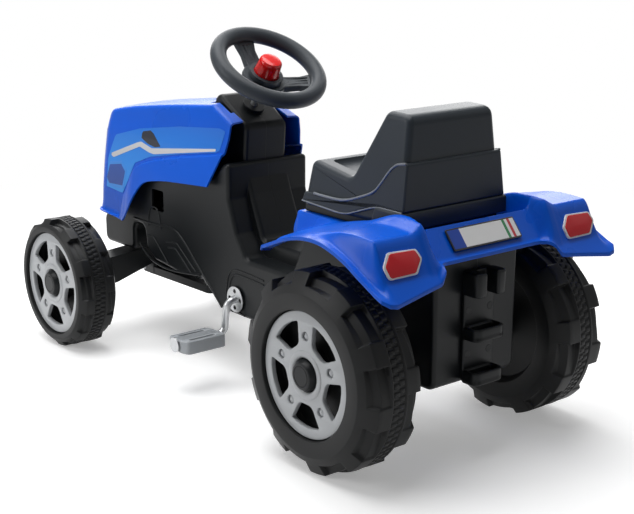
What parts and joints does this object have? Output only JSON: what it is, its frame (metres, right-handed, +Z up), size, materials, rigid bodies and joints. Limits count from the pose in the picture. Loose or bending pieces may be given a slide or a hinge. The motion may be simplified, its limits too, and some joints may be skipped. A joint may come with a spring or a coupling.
{
  "type": "pedal tractor",
  "caption": "Child's ride-on pedal tractor with hinged bonnet, sliding seat, mudguards, steered front axle, chain drive to the rear wheel and a tow hitch.",
  "frame": {"origin": "on the floor, under the middle of the whole tractor", "axes": "+Z up, the tractor faces -Y, its left side is +X"},
  "size_m": [0.464, 0.971, 0.557],
  "materials": {
    "chassis_black": "matte black moulded plastic",
    "body_blue": "glossy blue moulded plastic",
    "seat_grey": "satin dark grey moulded plastic",
    "wheel_black": "matte black blow-moulded plastic",
    "trim_grey": "satin silver-grey plastic",
    "lamp_red": "glossy red plastic",
    "plate_white": "glossy white plastic",
    "zinc_steel": "bright zinc-plated steel",
    "pedal_grey": "light grey moulded plastic",
    "bush_nylon": "black nylon"
  },
  "bodies": {
    "chassis": {"chassis_left": "chassis_black", "chassis_right": "chassis_black", "chassis_screws": "zinc_steel", "deck": "body_blue", "deck_screws": "zinc_steel", "rear_lamp_left": "lamp_red", "rear_lamp_right": "lamp_red", "number_plate": "plate_white", "tow_hitch": "chassis_black", "hitch_screws": "zinc_steel", "bonnet_hinge_pins": "zinc_steel", "column_collar": "bush_nylon", "lower_bush": "bush_nylon", "kingpin": "zinc_steel", "kingpin_nut": "zinc_steel", "thrust_washer": "bush_nylon", "rear_bushes": "bush_nylon", "crank_bushes": "bush_nylon", "crank_plates": "zinc_steel", "chain": "zinc_steel"},
    "bonnet": {"bonnet": "body_blue", "bonnet_catch": "trim_grey", "front_grille": "chassis_black", "headlamp_left": "plate_white", "headlamp_right": "plate_white"},
    "seat": {"seat": "seat_grey", "seat_bolts": "zinc_steel"},
    "steering": {"steering_wheel": "seat_grey", "steering_cross_pin": "zinc_steel", "horn_ring": "seat_grey", "horn_spring": "zinc_steel", "steering_rod": "zinc_steel"},
    "horn": {"horn_button": "lamp_red"},
    "front_axle": {"front_axle": "chassis_black", "front_axle_stubs": "zinc_steel", "front_axle_clips": "zinc_steel"},
    "front_wheel_left": {"front_wheel_left": "wheel_black", "front_trim_left": "trim_grey", "front_cap_left": "wheel_black"},
    "front_wheel_right": {"front_wheel_right": "wheel_black", "front_trim_right": "trim_grey", "front_cap_right": "wheel_black"},
    "crank": {"crank": "zinc_steel", "crank_sprocket": "zinc_steel", "crank_sprocket_pin": "zinc_steel", "pedal_clips": "zinc_steel"},
    "pedal_left": {"pedal_left": "pedal_grey"},
    "pedal_right": {"pedal_right": "pedal_grey"},
    "rear_drive": {"rear_axle_rod": "zinc_steel", "rear_axle_clips": "zinc_steel", "rear_spacers": "bush_nylon", "rear_sprocket": "zinc_steel", "rear_sprocket_pin": "zinc_steel", "drive_pin": "zinc_steel", "rear_wheel_left": "wheel_black", "rear_trim_left": "trim_grey", "rear_cap_left": "wheel_black"},
    "rear_wheel_right": {"rear_wheel_right": "wheel_black", "rear_trim_right": "trim_grey", "rear_cap_right": "wheel_black"}
  },
  "joints": [
    {"name": "steering_turn", "type": "hinge", "parent": "chassis", "child": "steering", "pos_m": [0, -0.04244, 0.499], "axis": [0, 0.5417, 0.8406], "range_deg": [-45, 45]},
    {"name": "axle_steer", "type": "hinge", "parent": "chassis", "child": "front_axle", "pos_m": [0, -0.3735, 0.125], "axis": [0, 0, 1], "range_deg": [-14.5, 14.5]},
    {"name": "front_left_spin", "type": "hinge", "parent": "front_axle", "child": "front_wheel_left", "pos_m": [0.194, -0.3735, 0.112], "axis": [1, 0, 0], "continuous": true},
    {"name": "front_right_spin", "type": "hinge", "parent": "front_axle", "child": "front_wheel_right", "pos_m": [-0.194, -0.3735, 0.112], "axis": [1, 0, 0], "continuous": true},
    {"name": "rear_axle_turn", "type": "hinge", "parent": "chassis", "child": "rear_drive", "pos_m": [0, 0.3285, 0.14], "axis": [1, 0, 0], "continuous": true},
    {"name": "rear_right_spin", "type": "hinge", "parent": "chassis", "child": "rear_wheel_right", "pos_m": [-0.181, 0.3285, 0.14], "axis": [1, 0, 0], "continuous": true},
    {"name": "crank_turn", "type": "hinge", "parent": "chassis", "child": "crank", "pos_m": [0, -0.02748, 0.136], "axis": [1, 0, 0], "continuous": true, "deforming": ["chain"]},
    {"name": "pedal_left_spin", "type": "hinge", "parent": "crank", "child": "pedal_left", "pos_m": [0.153, -0.03624, 0.08069], "axis": [1, 0, 0], "continuous": true},
    {"name": "pedal_right_spin", "type": "hinge", "parent": "crank", "child": "pedal_right", "pos_m": [-0.153, -0.01872, 0.19131], "axis": [1, 0, 0], "continuous": true},
    {"name": "horn_press", "type": "slide", "parent": "steering", "child": "horn", "axis": [0, -0.5417, -0.8406], "range_m": [0, 0.005], "stiffness_N_per_m": 600, "springref_m": -0.002, "deforming": ["horn_spring"]},
    {"name": "bonnet_open", "type": "hinge", "parent": "chassis", "child": "bonnet", "pos_m": [0, -0.4435, 0.228], "axis": [1, 0, 0], "range_deg": [0, 50]},
    {"name": "seat_slide", "type": "slide", "parent": "chassis", "child": "seat", "axis": [0, 1, 0], "range_m": [0, 0.03]}
  ],
  "couplings": [
    {"joint": "axle_steer", "follows": "steering_turn", "ratio": 0.31},
    {"joint": "crank_turn", "follows": "rear_axle_turn", "ratio": 1}
  ]
}
